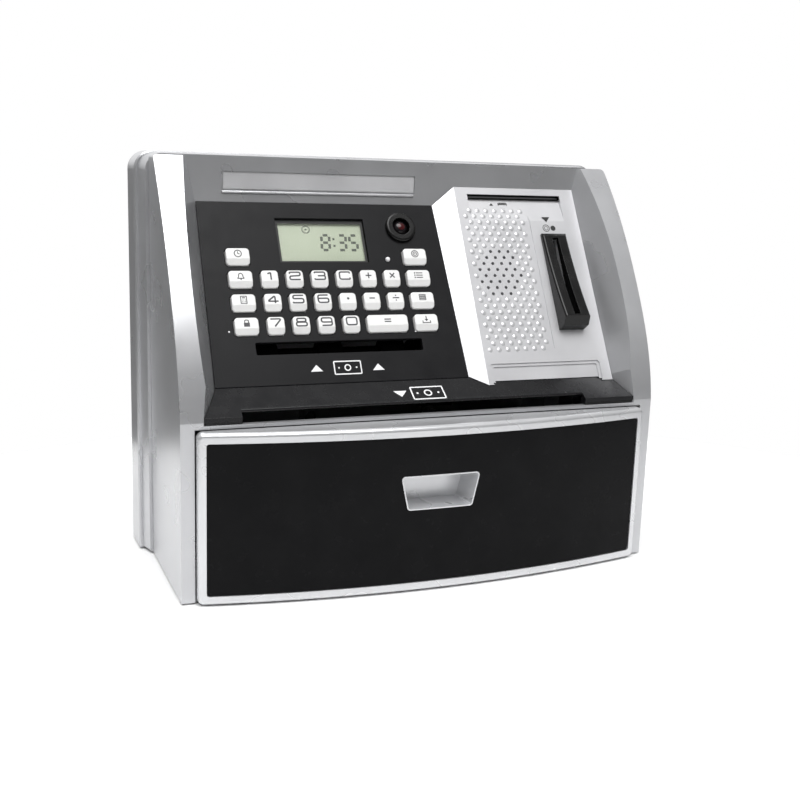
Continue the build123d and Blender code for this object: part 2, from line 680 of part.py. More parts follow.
def drawer_front_frame():
    """The silver surround, hollow at the back, with a seat for the dark panel."""
    solid = bowed_slab(0, 30, FRONT_X, DRAWER_BOTTOM, DRAWER_TOP)
    solid &= block(-130, 130, -80, FRONT_BACK_Y, -5, 100)
    solid = fillet(solid.edges().filter_by(Axis.Y), 3.0)
    solid = fillet(solid.faces().sort_by(Axis.Y)[0].edges(), 2.2)
    hollow = bowed_slab(4.8, 40, FRONT_X - 2.4, DRAWER_BOTTOM + 2.4, DRAWER_TOP - 2.4)
    solid -= hollow & block(-130, 130, -80, -50, -5, 100)
    solid -= bowed_slab(-3, 5.7, 114.0, 2.0, 79.0) & rounded_pane(111.0, 4.9, 75.7)
    solid -= pull_solid(0.95, -50.0)
    return solid


def drawer_front_panel():
    panel = bowed_slab(0.6, 2.0, 114.0, 2.0, 79.0) & rounded_pane(110.75, 5.15, 75.45)
    return panel - pull_solid(0.75, -50.0)


def drawer_pull_cup():
    cup = pull_solid(0.55, -53.4) - pull_solid(0, -54.0)
    limit = bowed_slab(0.35, 28, 60, 20, 80)
    return cup & limit


def drawer_tray():
    tray = block(-TRAY_X, TRAY_X, -52.6, TRAY_BACK, TRAY_FLOOR, TRAY_TOP)
    tray -= block(-TRAY_X + 1.8, TRAY_X - 1.8, -50.4, TRAY_BACK - 1.8, TRAY_FLOOR + 2.0, TRAY_TOP + 5)
    # A low wall parts coins from banknotes
    tray += block(58, 59.6, -50.4, TRAY_BACK - 1.8, TRAY_FLOOR + 1, 34)
    # Keeper behind the tray, for the bolt
    tray += block(33, 47, TRAY_BACK - 1, TRAY_BACK + 11, 48, 50)
    tray -= z_rod(40, LATCH_Y, 45, 55, 3.5)
    # Guide ribs along both sides
    for x in (-TRAY_X, TRAY_X):
        tray += block(x - 0.7, x + 0.7, -48, TRAY_BACK - 2, 12, 14)
    return tray


def drawer_latch():
    bolt = z_rod(40, LATCH_Y, 51.0, 82.0, 3.0)
    bolt = chamfer(bolt.edges().sort_by(Axis.Z)[0], 0.8)
    return bolt + z_rod(40, LATCH_Y, 55.2, 57.0, 5.4)


def latch_spring():
    path = Helix(pitch=1.9, height=8.0, radius=4.3)
    start = path @ 0
    wire = Plane(origin=start, z_dir=path % 0) * Circle(0.35)
    coil = sweep(wire, path=path, is_frenet=True)
    return Pos(40, LATCH_Y, 57.5) * coil


def latch_solenoid():
    y = LATCH_Y
    coil = block(30, 50, y - 9, y + 9, 66, 88)
    coil = fillet(coil.edges().filter_by(Axis.Z), 1.5)
    coil += block(33, 47, y + 8, DEPTH / 2 - WALL - 0.2, 82, 85)
    return coil - z_rod(40, y, 60, 86.5, 3.0 + RUN_FIT)


def battery_box():
    box = block(-93, -37, 45.5, 66.0, 20, 68)
    return box - block(-91.4, -38.6, 47.1, 70, 21.6, 66.4)


def batteries():
    cells = []
    for row in range(3):
        z = 29.2 + 14.8 * row
        cell = x_rod(-90.6, -40.4, 56.6, z, 7.1)
        nub_x = -40.4 if row % 2 == 0 else -91.3
        cells.append(cell + x_rod(nub_x, nub_x + 0.7, 56.6, z, 2.6))
    return Compound(cells)


def battery_door():
    back_y = DEPTH / 2
    door = block(-94, -36, back_y - 1.5, back_y, 19, 69)
    door -= block(-72, -58, back_y - 0.8, back_y + 1, 61, 63)
    for row in range(4):
        door -= block(-74, -56, back_y - 0.5, back_y + 1, 26 + 2.6 * row, 27.2 + 2.6 * row)
    return door


def rubber_feet():
    places = [(-104, -40), (104, -40), (-104, 56), (104, 56)]
    return Compound([z_rod(x, y, 0, FOOT_GAP + 0.6, 6.0) for x, y in places])


def screw(length):
    """A pan head screw with a cross recess, head at the origin, shank along +Z."""
    head = Pos(0, 0, SCREW_HEAD / 2) * Cylinder(2.9, SCREW_HEAD)
    head = fillet(head.edges().sort_by(Axis.Z)[0], 0.5)
    shank = Pos(0, 0, SCREW_HEAD + length / 2) * Cylinder(1.5, length)
    cross = Box(3.4, 0.7, 1.4) + Box(0.7, 3.4, 1.4)
    return head + shank - cross


def housing_screws():
    screws = []
    for x, z in REAR_BOSSES:
        y = DEPTH / 2 - 14.0 + SCREW_HEAD
        screws.append(Pos(x, y, z) * Rot(90, 0, 0) * screw(y - SCREW_HEAD - 15.4))
    for x, y in BASE_BOSSES:
        screws.append(Pos(x, y, FOOT_GAP) * screw(9.0))
    return Compound(screws)


PARTS = {
    "front_housing": front_housing,
    "rear_housing": rear_housing,
    "base_plate": base_plate,
    "keypad_panel": keypad_panel,
    "coin_panel": coin_panel,
    "bill_ledge": bill_ledge,
    "lcd_window": lcd_window,
    "lcd_module": lcd_module,
    "camera_bezel": camera_bezel,
    "camera_dome": camera_dome,
    "status_led": status_led,
    "key_mat": key_mat,
    "circuit_board": circuit_board,
    "speaker": speaker,
    "coin_bezel": coin_bezel,
    "coin_chute": coin_chute,
    "coin_lever": coin_lever,
    "drawer_tray": drawer_tray,
    "drawer_front_frame": drawer_front_frame,
    "drawer_front_panel": drawer_front_panel,
    "drawer_pull_cup": drawer_pull_cup,
    "drawer_latch": drawer_latch,
    "latch_spring": latch_spring,
    "latch_solenoid": latch_solenoid,
    "feeder_frame": feeder_frame,
    "feed_motor": feed_motor,
    "motor_pinion": motor_pinion,
    "feed_shaft": feed_shaft,
    "feed_rollers": feed_rollers,
    "pinch_roller": pinch_roller,
    "battery_box": battery_box,
    "batteries": batteries,
    "battery_door": battery_door,
    "rubber_feet": rubber_feet,
    "housing_screws": housing_screws,
}

os.makedirs("parts", exist_ok=True)
for name, make in PARTS.items():
    export_step(make(), "parts/" + name + ".step")
for name, (x, v, size) in keys().items():
    export_step(key_cap(x, v, size), "parts/" + name + ".step")
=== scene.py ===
import math

import bpy
from mathutils import Matrix, Vector


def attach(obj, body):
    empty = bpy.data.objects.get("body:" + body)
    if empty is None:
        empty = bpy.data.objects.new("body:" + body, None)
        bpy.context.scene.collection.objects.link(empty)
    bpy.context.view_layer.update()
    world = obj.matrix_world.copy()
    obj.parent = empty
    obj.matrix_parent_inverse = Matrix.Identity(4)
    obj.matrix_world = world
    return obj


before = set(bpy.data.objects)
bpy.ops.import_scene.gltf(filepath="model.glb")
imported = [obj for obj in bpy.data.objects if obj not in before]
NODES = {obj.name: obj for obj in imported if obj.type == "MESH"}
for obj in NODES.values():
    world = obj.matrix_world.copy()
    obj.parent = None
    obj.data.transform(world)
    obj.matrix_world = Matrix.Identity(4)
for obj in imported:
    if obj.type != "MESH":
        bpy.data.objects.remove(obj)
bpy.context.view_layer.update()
MM = 0.001

# ---------------------------------------------------------------- local planes of the front

PANEL_TILT, PANEL_ORIGIN = math.radians(30), Vector((0, -36.9, 96.0))
COIN_TILT, COIN_ORIGIN = math.radians(29), Vector((0, -42.4, 92.4))
LEDGE_RUN, LEDGE_FALL = 16.0, 10.4      # how far the ledge comes forward and drops
HEADER_Y = 10.5


def plane_matrix(origin, tilt):
    """Takes (across, up, out) in millimetres on a leaning plane to metres in the frame."""
    across = Vector((1, 0, 0))
    up = Vector((0, math.sin(tilt), math.cos(tilt)))
    out = Vector((0, -math.cos(tilt), math.sin(tilt)))
    turn = Matrix((across, up, out)).transposed().to_4x4()
    return Matrix.Scale(MM, 4) @ Matrix.Translation(origin) @ turn


PANEL = plane_matrix(PANEL_ORIGIN, PANEL_TILT)
COIN = plane_matrix(COIN_ORIGIN, COIN_TILT)
LEDGE = plane_matrix(PANEL_ORIGIN, math.atan2(LEDGE_RUN, LEDGE_FALL))
HEADER = plane_matrix(Vector((0, HEADER_Y, 0)), 0)

# ---------------------------------------------------------------- materials

NOISE_SPAN = (0.35, 0.65)       # where most of a noise's values lie
BEVEL_SAMPLES = 8
ALONG_GRAIN = (1, 12, 12)       # stretches a noise along X, like drawn metal

def new_material(name, color, roughness, metallic=0.0, **sockets):
    """A principled material; further sockets are set by name with _ for spaces."""
    mat = bpy.data.materials.new(name)
    mat.use_nodes = True
    shader = mat.node_tree.nodes["Principled BSDF"]
    shader.inputs["Base Color"].default_value = (*color, 1)
    shader.inputs["Roughness"].default_value = roughness
    shader.inputs["Metallic"].default_value = metallic
    for key, value in sockets.items():
        shader.inputs[key.replace("_", " ")].default_value = value
    return mat


def add_node(mat, kind, **values):
    """A shader node with its sockets, or else its properties, set by name."""
    node = mat.node_tree.nodes.new(kind)
    for key, value in values.items():
        socket = key.replace("_", " ")
        if socket in node.inputs:
            node.inputs[socket].default_value = value
        else:
            setattr(node, key, value)
    return node


def noise(mat, scale, detail=3.0, roughness=0.5, stretch=(1, 1, 1)):
    """Noise over the object's own coordinates; scale is in waves per metre."""
    links = mat.node_tree.links
    coords = add_node(mat, "ShaderNodeTexCoord")
    mapping = add_node(mat, "ShaderNodeMapping")
    mapping.inputs["Scale"].default_value = stretch
    tex = add_node(mat, "ShaderNodeTexNoise", Scale=scale, Detail=detail, Roughness=roughness)
    links.new(coords.outputs["Object"], mapping.inputs["Vector"])
    links.new(mapping.outputs["Vector"], tex.inputs["Vector"])
    return tex.outputs["Fac"]


def ramp(mat, source, low, high, out_low=0, out_high=1):
    """The source from low to high, mapped on to another range and kept inside it."""
    node = add_node(mat, "ShaderNodeMapRange", From_Min=low, From_Max=high, To_Min=out_low, To_Max=out_high)
    mat.node_tree.links.new(source, node.inputs["Value"])
    return node.outputs["Result"]


def vary_roughness(mat, source, low, high):
    shader = mat.node_tree.nodes["Principled BSDF"]
    mat.node_tree.links.new(ramp(mat, source, *NOISE_SPAN, low, high), shader.inputs["Roughness"])


def vary_color(mat, source, first, second):
    shader = mat.node_tree.nodes["Principled BSDF"]
    mix = add_node(mat, "ShaderNodeMix", data_type="RGBA")
    mix.inputs["A"].default_value = (*first, 1)
    mix.inputs["B"].default_value = (*second, 1)
    factor = ramp(mat, source, *NOISE_SPAN)
    mat.node_tree.links.new(factor, mix.inputs["Factor"])
    mat.node_tree.links.new(mix.outputs["Result"], shader.inputs["Base Color"])


def bump(mat, source, strength, distance, edge=0.0):
    """Fine relief; edge also rounds sharp edges by that radius in metres."""
    shader = mat.node_tree.nodes["Principled BSDF"]
    node = add_node(mat, "ShaderNodeBump", Strength=strength, Distance=distance)
    mat.node_tree.links.new(source, node.inputs["Height"])
    if edge:
        bevel = add_node(mat, "ShaderNodeBevel", Radius=edge)
        bevel.samples = BEVEL_SAMPLES
        mat.node_tree.links.new(bevel.outputs["Normal"], node.inputs["Normal"])
    mat.node_tree.links.new(node.outputs["Normal"], shader.inputs["Normal"])


def silver(name, color, second, rough_low, rough_high, metallic):
    """Silver paint on plastic."""
    mat = new_material(name, color, rough_low, metallic)
    vary_color(mat, noise(mat, 60, 3, 0.5), color, second)
    vary_roughness(mat, noise(mat, 30, 2, 0.5), rough_low, rough_high)
    bump(mat, noise(mat, 90, 2, 0.5), 0.08, 0.00004)
    return mat


def plastic(name, color, second, rough_low, rough_high, grain=1800, depth=0.00003, edge=0.0003, **sockets):
    """Moulded plastic, rubber or ink with a fine grain."""
    mat = new_material(name, color, rough_low, **sockets)
    vary_color(mat, noise(mat, 60, 4, 0.6), color, second)
    vary_roughness(mat, noise(mat, 120, 4, 0.6), rough_low, rough_high)
    bump(mat, noise(mat, grain, 2, 0.6), 0.15, depth, edge)
    return mat


def metal(name, color, second, low, high):
    """Drawn or turned metal."""
    mat = new_material(name, color, low, 1.0)
    vary_color(mat, noise(mat, 200, 3, 0.6), color, second)
    vary_roughness(mat, noise(mat, 400, 3, 0.7, ALONG_GRAIN), low, high)
    bump(mat, noise(mat, 900, 3, 0.6, ALONG_GRAIN), 0.1, 0.00003, 0.0002)
    return mat


def clear_sheet(name, color, roughness, alpha):
    """A thin clear sheet: mostly see-through, with its own sheen."""
    mat = new_material(name, color, roughness, Alpha=alpha, Specular_IOR_Level=0.8)
    bump(mat, noise(mat, 40, 2, 0.5), 0.05, 0.00002)
    return mat


MAT = {
    "silver": silver("silver_shell", (0.54, 0.545, 0.56), (0.565, 0.57, 0.585), 0.27, 0.33, 0.68),
    # painted light: a lighter copy of the housing's silver for the drawer frame and pull cup, standing in
    # for the brighter light they catch
    "trim": silver("silver_trim_painted_light", (0.67, 0.675, 0.69), (0.695, 0.70, 0.715), 0.24, 0.30, 0.62),
    # painted light: a second, slightly paler copy of the housing's silver for the coin side and its studs,
    # standing in for the coin side facing the light
    "coin_silver_painted_light": silver("silver_coin_side", (0.565, 0.565, 0.58), (0.59, 0.59, 0.605), 0.32, 0.40, 0.45),
    "plate": silver("name_plate", (0.72, 0.72, 0.735), (0.76, 0.76, 0.775), 0.38, 0.46, 0.6),
    "charcoal": plastic("charcoal_panel", (0.006, 0.006, 0.007), (0.008, 0.008, 0.009), 0.34, 0.44,
                        Specular_IOR_Level=0.16),
    "gloss": plastic("black_gloss", (0.004, 0.004, 0.0045), (0.006, 0.006, 0.0065), 0.22, 0.28,
                     grain=300, Specular_IOR_Level=0.08),
    "ledge": plastic("ledge_black", (0.007, 0.007, 0.008), (0.010, 0.010, 0.011), 0.22, 0.30,
                     Specular_IOR_Level=0.3),
    "guide": plastic("guide_black", (0.003, 0.003, 0.003), (0.005, 0.005, 0.005), 0.20, 0.28,
                     Specular_IOR_Level=0.3),
    "key": plastic("key_white", (0.76, 0.76, 0.755), (0.80, 0.80, 0.79), 0.30, 0.38, edge=0.0002),
    "print_grey": plastic("print_grey", (0.045, 0.045, 0.05), (0.07, 0.07, 0.075), 0.5, 0.6),
    # white print; the status LED also takes it, as a painted highlight
    "print_white_and_glint": plastic("print_white_and_glint", (0.85, 0.85, 0.86), (0.80, 0.80, 0.81), 0.5, 0.6),
    "print_black": plastic("print_black", (0.015, 0.015, 0.015), (0.02, 0.02, 0.02), 0.5, 0.6),
    "lcd": plastic("lcd_cell", (0.42, 0.47, 0.35), (0.46, 0.51, 0.39), 0.45, 0.55),
    "lcd_ink": plastic("lcd_ink", (0.018, 0.026, 0.020), (0.028, 0.036, 0.028), 0.5, 0.6),
    "red": plastic("eye_red", (0.030, 0.001, 0.002), (0.05, 0.002, 0.003), 0.10, 0.15,
                   Specular_IOR_Level=0.4),
    "board": plastic("board_green", (0.02, 0.12, 0.05), (0.03, 0.15, 0.06), 0.25, 0.35),
    "mat_grey": plastic("mat_grey", (0.35, 0.35, 0.35), (0.40, 0.40, 0.40), 0.55, 0.65),
    "matt_black": plastic("matt_black", (0.004, 0.004, 0.004), (0.006, 0.006, 0.006), 0.6, 0.75,
                          Specular_IOR_Level=0.15),
    "inner": plastic("inner_plastic", (0.26, 0.27, 0.28), (0.30, 0.31, 0.32), 0.35, 0.45),
    "rubber": plastic("rubber_black", (0.02, 0.02, 0.02), (0.03, 0.03, 0.03), 0.65, 0.8, depth=0.00006),
    "wrap": plastic("cell_wrap", (0.04, 0.07, 0.16), (0.05, 0.08, 0.18), 0.15, 0.22),
    "steel": metal("plated_steel", (0.55, 0.56, 0.58), (0.62, 0.62, 0.64), 0.22, 0.35),
    "dark_steel": metal("blackened_steel", (0.008, 0.008, 0.008), (0.012, 0.012, 0.012), 0.4, 0.55),
    "eye": plastic("eye_black", (0.006, 0.005, 0.006), (0.009, 0.007, 0.008), 0.08, 0.12,
                   grain=200, Specular_IOR_Level=0.4),
    "brass": metal("turned_brass", (0.70, 0.50, 0.20), (0.76, 0.56, 0.25), 0.20, 0.32),
    "window": clear_sheet("lcd_glass", (0.55, 0.60, 0.50), 0.08, 0.08),
}

NODE_MATERIAL = {
    "front_housing": "silver",
    "rear_housing": "silver",
    # the coin side takes the paler silver copy: painted light
    "coin_panel": "coin_silver_painted_light",
    # the drawer's frame and pull cup take the lighter silver copy: painted light
    "drawer_front_frame": "trim",
    "drawer_pull_cup": "trim",
    "keypad_panel": "charcoal",
    "drawer_front_panel": "gloss",
    "coin_bezel": "guide",
    "camera_bezel": "guide",
    "bill_ledge": "ledge",
    "lcd_window": "window",
    "lcd_module": "lcd",
    "camera_dome": "eye",
    # painted highlight: the status LED is plain white, standing in for the white glint on its dark lens
    "status_led": "print_white_and_glint",
    "circuit_board": "board",
    "key_mat": "mat_grey",
    "speaker": "matt_black",
    "base_plate": "inner",
    "drawer_tray": "inner",
    "coin_chute": "inner",
    "coin_lever": "inner",
    "feeder_frame": "matt_black",
    "battery_box": "inner",
    "battery_door": "silver",
    "feed_shaft": "dark_steel",
    "pinch_roller": "dark_steel",
    "drawer_latch": "steel",
    "latch_spring": "steel",
    "housing_screws": "steel",
    "feed_motor": "steel",
    "latch_solenoid": "matt_black",
    "feed_rollers": "matt_black",
    "rubber_feet": "rubber",
    "motor_pinion": "brass",
    "batteries": "wrap",
}


def set_material(obj, mat):
    obj.data.materials.clear()
    obj.data.materials.append(mat)


def shade(obj, angle):
    """Smooth over gentle edges only."""
    for polygon in obj.data.polygons:
        polygon.use_smooth = True
    obj.data.set_sharp_from_angle(angle=math.radians(angle))


CAD_SMOOTH = 32         # degrees; edges sharper than this stay sharp
PIECE_SMOOTH, FLAT_SMOOTH, ROUND_SMOOTH = 40, 20, 80

for node_name, node in NODES.items():
    key = "key" if node_name.startswith("key_") and node_name != "key_mat" else NODE_MATERIAL[node_name]
    set_material(node, MAT[key])
    shade(node, CAD_SMOOTH)

# ---------------------------------------------------------------- pieces made of meshes


def add_piece(name, verts, faces, matrix, mat, body, angle=PIECE_SMOOTH):
    """A mesh piece in millimetres on a leaning plane, riding on a CAD body."""
    mesh = bpy.data.meshes.new(name)
    mesh.from_pydata([matrix @ Vector(v) for v in verts], [], faces)
    mesh.update()
    obj = bpy.data.objects.new(name, mesh)
    bpy.context.scene.collection.objects.link(obj)
    mesh.materials.append(mat)
    shade(obj, angle)
    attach(obj, body)
    return obj


def rounded(points, radius, closed=False, steps=4):
    """The polyline with its corners rounded."""
    count = len(points)
    result = []
    for i, here in enumerate(points):
        if not closed and i in (0, count - 1):
            result.append(Vector(here))
            continue
        here = Vector(here)
        before = Vector(points[i - 1]) - here
        after = Vector(points[(i + 1) % count]) - here
        reach = min(radius, before.length * 0.48, after.length * 0.48)
        first, last = here + before.normalized() * reach, here + after.normalized() * reach
        for step in range(steps + 1):
            t = step / steps
            result.append((1 - t) ** 2 * first + 2 * t * (1 - t) * here + t**2 * last)
    return result


MITRE_LIMIT = 0.35      # keeps the mitre of a tight corner short


def circle(x, y, radius, sides):
    turns = [2 * math.pi * i / sides for i in range(sides)]
    return [(x + radius * math.cos(a), y + radius * math.sin(a)) for a in turns]


def rectangle(x0, x1, y0, y1):
    return [(x0, y0), (x1, y0), (x1, y1), (x0, y1)]


class Shapes:
    """Collects flat printed shapes into one mesh."""

    def __init__(self):
        self.verts, self.faces = [], []

    def prism(self, outline, low, high):
        """A closed outline drawn up to a slab."""
        start, count = len(self.verts), len(outline)
        self.verts += [(x, y, low) for x, y in outline] + [(x, y, high) for x, y in outline]
        self.faces.append(tuple(start + count + i for i in range(count)))
        for i in range(count):
            j = (i + 1) % count
            self.faces.append((start + i, start + j, start + count + j, start + count + i))

    def stroke(self, points, width, low, high, closed=False):
        """A line of constant width with mitred corners."""
        points = [Vector(p) for p in points]
        count = len(points)
        left, right = [], []
        for i, here in enumerate(points):
            before = points[i - 1] if closed or i else None
            after = points[(i + 1) % count] if closed or i < count - 1 else None
            a = (here - before).normalized() if before is not None else (after - here).normalized()
            b = (after - here).normalized() if after is not None else a
            normal = Vector((-a.y - b.y, a.x + b.x))
            normal.normalize()
            reach = width / 2 / max(MITRE_LIMIT, normal.dot(Vector((-a.y, a.x))))
            left.append(here + normal * reach)
            right.append(here - normal * reach)
        start = len(self.verts)
        for z in (low, high):
            self.verts += [(p.x, p.y, z) for p in left] + [(p.x, p.y, z) for p in right]
        ring = 2 * count
        for i in range(count if closed else count - 1):
            a, b = start + i, start + (i + 1) % count
            self.faces.append((a + ring, b + ring, b + ring + count, a + ring + count)[::-1])
            self.faces.append((a, b, b + ring, a + ring)[::-1])
            self.faces.append((a + count, b + count, b + ring + count, a + ring + count))
        if not closed:
            for i in (0, count - 1):
                a = start + i
                cap = (a, a + count, a + ring + count, a + ring)
                self.faces.append(cap if i else cap[::-1])

    def disc(self, x, y, radius, low, high, sides=20):
        self.prism(circle(x, y, radius, sides), low, high)

    def ring(self, x, y, radius, width, low, high, sides=28):
        self.stroke(circle(x, y, radius, sides), width, low, high, True)


# ---------------------------------------------------------------- digits and signs

KEY_TOP = 2.2
STEP_UP = 0.003         # a stroke that crosses another lies this much higher
SIGN_LINE = 0.62
THIN_LINE, FINE_LINE, PICTURE_LINE, BOLD_LINE = 0.38, 0.42, 0.46, 0.50
DIGIT_CORNER = 1.1
DIGIT_WIDTH, DIGIT_HEIGHT, DIGIT_LINE = 5.2, 3.8, 0.74
DIGITS = {
    "0": [([(0, 0), (1, 0), (1, 1), (0, 1)], True)],
    "1": [([(0.30, 0.80), (0.60, 1), (0.60, 0)], False)],
    "2": [([(0, 0.76), (0, 1), (1, 1), (1, 0.54), (0, 0.46), (0, 0), (1, 0)], False)],
    "3": [([(0, 0.84), (0, 1), (1, 1), (1, 0.5), (0.3, 0.5)], False),
          ([(0.9, 0.5), (1, 0.42), (1, 0), (0, 0), (0, 0.16)], False)],
    "4": [([(1.0, 0.26), (0, 0.26), (0.70, 1), (0.70, 0)], False)],
    "5": [([(1, 1), (0.04, 1), (0, 0.56), (1, 0.56), (1, 0), (0, 0), (0, 0.14)], False)],
    "6": [([(0.96, 1), (0, 1), (0, 0), (1, 0), (1, 0.56), (0.05, 0.56)], False)],
    "7": [([(0, 1), (1, 1), (0.36, 0)], False)],
    "8": [([(0, 0), (1, 0), (1, 0.50), (0, 0.50)], True),
          ([(0.08, 0.56), (0.92, 0.56), (0.92, 1), (0.08, 1)], True)],
    "9": [([(0.04, 0), (1, 0), (1, 1), (0, 1), (0, 0.44), (0.95, 0.44)], False)],
    "C": [([(1, 0.78), (1, 1), (0, 1), (0, 0), (1, 0), (1, 0.22)], False)],
}


def draw_digit(shapes, text, x, v, low, high):
    for index, (points, closed) in enumerate(DIGITS[text]):
        spread = [((px - 0.5) * DIGIT_WIDTH + x, (py - 0.5) * DIGIT_HEIGHT + v) for px, py in points]
        line = rounded(spread, DIGIT_CORNER, closed)
        shapes.stroke(line, DIGIT_LINE, low, high + STEP_UP * index, closed)


def draw_sign(shapes, text, x, v, low, high):
    if text == "+":
        shapes.stroke([(x - 1.5, v), (x + 1.5, v)], SIGN_LINE, low, high)
        shapes.stroke([(x, v - 1.5), (x, v + 1.5)], SIGN_LINE, low, high + STEP_UP)
    elif text == "x":
        shapes.stroke([(x - 1.2, v - 1.2), (x + 1.2, v + 1.2)], SIGN_LINE, low, high)
        shapes.stroke([(x - 1.2, v + 1.2), (x + 1.2, v - 1.2)], SIGN_LINE, low, high + STEP_UP)
    elif text == "-":
        shapes.stroke([(x - 1.4, v), (x + 1.4, v)], SIGN_LINE, low, high)
    elif text == "/":
        shapes.stroke([(x - 1.7, v), (x + 1.7, v)], SIGN_LINE, low, high)
        shapes.disc(x, v + 1.25, 0.34, low, high)
        shapes.disc(x, v - 1.25, 0.34, low, high)
    elif text == "=":
        shapes.stroke([(x - 1.7, v + 0.6), (x + 1.7, v + 0.6)], SIGN_LINE, low, high)
        shapes.stroke([(x - 1.7, v - 0.6), (x + 1.7, v - 0.6)], SIGN_LINE, low, high)
    elif text == ".":
        shapes.disc(x, v, 0.62, low, high)


# ---------------------------------------------------------------- small pictures for the worded keys


def picture_clock(s, x, v, low, high):
    s.ring(x, v, 1.7, PICTURE_LINE, low, high)
    s.stroke([(x, v + 1.1), (x, v), (x + 0.9, v - 0.3)], FINE_LINE, low, high)


def picture_bell(s, x, v, low, high):
    outline = [(x - 1.7, v - 1.1), (x - 1.1, v - 0.5), (x - 1.0, v + 0.9), (x, v + 1.7), (x + 1.0, v + 0.9)]
    outline += [(x + 1.1, v - 0.5), (x + 1.7, v - 1.1)]
    s.stroke(rounded(outline, 0.7, True), FINE_LINE, low, high, True)
    s.disc(x, v - 1.55, 0.35, low, high)


def picture_calculator(s, x, v, low, high):
    s.stroke(rectangle(x - 1.4, x + 1.4, v - 1.8, v + 1.8), FINE_LINE, low, high, True)
    s.stroke([(x - 0.8, v + 1.0), (x + 0.8, v + 1.0)], BOLD_LINE, low, high)
    for row in range(2):
        for column in range(3):
            s.disc(x - 0.75 + 0.75 * column, v - 0.1 - 0.9 * row, 0.22, low, high, 10)


def picture_lock(s, x, v, low, high):
    s.prism(rectangle(x - 1.4, x + 1.4, v - 1.7, v + 0.3), low, high)
    shackle = [(x - 0.9, v + 0.25), (x - 0.9, v + 1.6), (x + 0.9, v + 1.6), (x + 0.9, v + 0.25)]
    s.stroke(rounded(shackle, 0.8), PICTURE_LINE, low, high)


def picture_target(s, x, v, low, high):
    s.ring(x, v, 1.75, FINE_LINE, low, high)
    s.ring(x, v, 0.95, THIN_LINE, low, high)
    s.disc(x, v, 0.32, low, high)


def picture_list(s, x, v, low, high):
    for row in range(3):
        y = v + 1.2 - 1.2 * row
        s.disc(x - 2.0, y, 0.38, low, high, 10)
        s.stroke([(x - 1.3, y), (x + 2.2, y)], PICTURE_LINE, low, high)


def picture_coins(s, x, v, low, high):
    for row in range(3):
        y = v - 1.3 + 1.05 * row
        s.stroke(rounded(rectangle(x - 1.7, x + 1.7, y, y + 0.72), 0.36, True), THIN_LINE, low, high, True)


def picture_out(s, x, v, low, high):
    s.stroke([(x, v + 1.9), (x, v - 0.2)], BOLD_LINE, low, high)
    s.prism([(x - 1.0, v + 0.2), (x, v - 1.0), (x + 1.0, v + 0.2)], low, high + STEP_UP)
    tray = [(x - 2.0, v - 0.6), (x - 2.0, v - 1.7), (x + 2.0, v - 1.7), (x + 2.0, v - 0.6)]
    s.stroke(tray, PICTURE_LINE, low, high)


COLUMNS = (-70.4, -58.0, -45.5, -32.9, -20.5, -8.0)
ROWS = (64.8, 53.1, 41.1, 29.3)
LEFT_X, RIGHT_X = -84.5, 6.2
FACES = {
    "one": ("1", 0, 1), "two": ("2", 1, 1), "three": ("3", 2, 1), "clear": ("C", 3, 1),
    "plus": ("+", 4, 1), "times": ("x", 5, 1), "four": ("4", 0, 2), "five": ("5", 1, 2),
    "six": ("6", 2, 2), "point": (".", 3, 2), "minus": ("-", 4, 2), "divide": ("/", 5, 2),
    "seven": ("7", 0, 3), "eight": ("8", 1, 3), "nine": ("9", 2, 3), "zero": ("0", 3, 3),
}
PICTURES = {
    "time": (picture_clock, LEFT_X, 0), "alarm": (picture_bell, LEFT_X, 1),
    "calculator": (picture_calculator, LEFT_X, 2), "password": (picture_lock, LEFT_X, 3),
    "target": (picture_target, RIGHT_X, 0), "balance": (picture_list, RIGHT_X, 1),
    "total": (picture_coins, RIGHT_X, 2), "withdraw": (picture_out, RIGHT_X, 3),
}
LEGEND_UP = 1.3             # the legends sit on the level part of the caps
PRINT_LOW, PRINT_HIGH = KEY_TOP - 0.05, KEY_TOP + 0.03


def print_key(name, x, row, draw, *text):
    shapes = Shapes()
    draw(shapes, *text, x, ROWS[row] + LEGEND_UP, PRINT_LOW, PRINT_HIGH)
    add_piece("print_" + name, shapes.verts, shapes.faces, PANEL, MAT["print_grey"],
              "key_" + name)


def print_keys():
    for name, (text, column, row) in FACES.items():
        print_key(name, COLUMNS[column], row, draw_digit if text in DIGITS else draw_sign, text)
    print_key("equals", (COLUMNS[4] + COLUMNS[5]) / 2, 3, draw_sign, "=")
    for name, (draw, x, row) in PICTURES.items():
        print_key(name, x, row, draw)


print_keys()

# ---------------------------------------------------------------- display

CELL_FACE = -2.65
FIGURE_SIZE, FIGURE_LINE, FIGURE_LEAN = (4.0, 8.0), 1.35, 0.08
FIGURES_V = 70.3
FIGURES = (("8", -40.6), ("3", -32.0), ("5", -26.0))
DISPLAY_MARK = (-47.6, 81.3)
LCD_BOX = (-63.25, -18.15, 62.8, 85.8)      # left, right, bottom, top
# the dark border round the LCD cell: partly a printed border and partly painted shade, its wider top band
# standing in for the shade of the recess's top wall
BORDER_SHADE_TOP, BORDER_SHADE_BOTTOM, BORDER_SHADE_LEFT, BORDER_SHADE_RIGHT = 1.9, 1.1, 1.2, 1.1
BORDER_SHADE_LOW, BORDER_SHADE_HIGH = -1.60, -1.55          # just under the window
SEGMENT = {"8": "abcdefg", "3": "abcdg", "5": "acdfg"}
SEGMENT_ENDS = {
    "a": ((0, 1), (1, 1)), "b": ((1, 1), (1, 0.5)), "c": ((1, 0.5), (1, 0)), "d": ((0, 0), (1, 0)),
    "e": ((0, 0), (0, 0.5)), "f": ((0, 0.5), (0, 1)), "g": ((0, 0.5), (1, 0.5)),
}


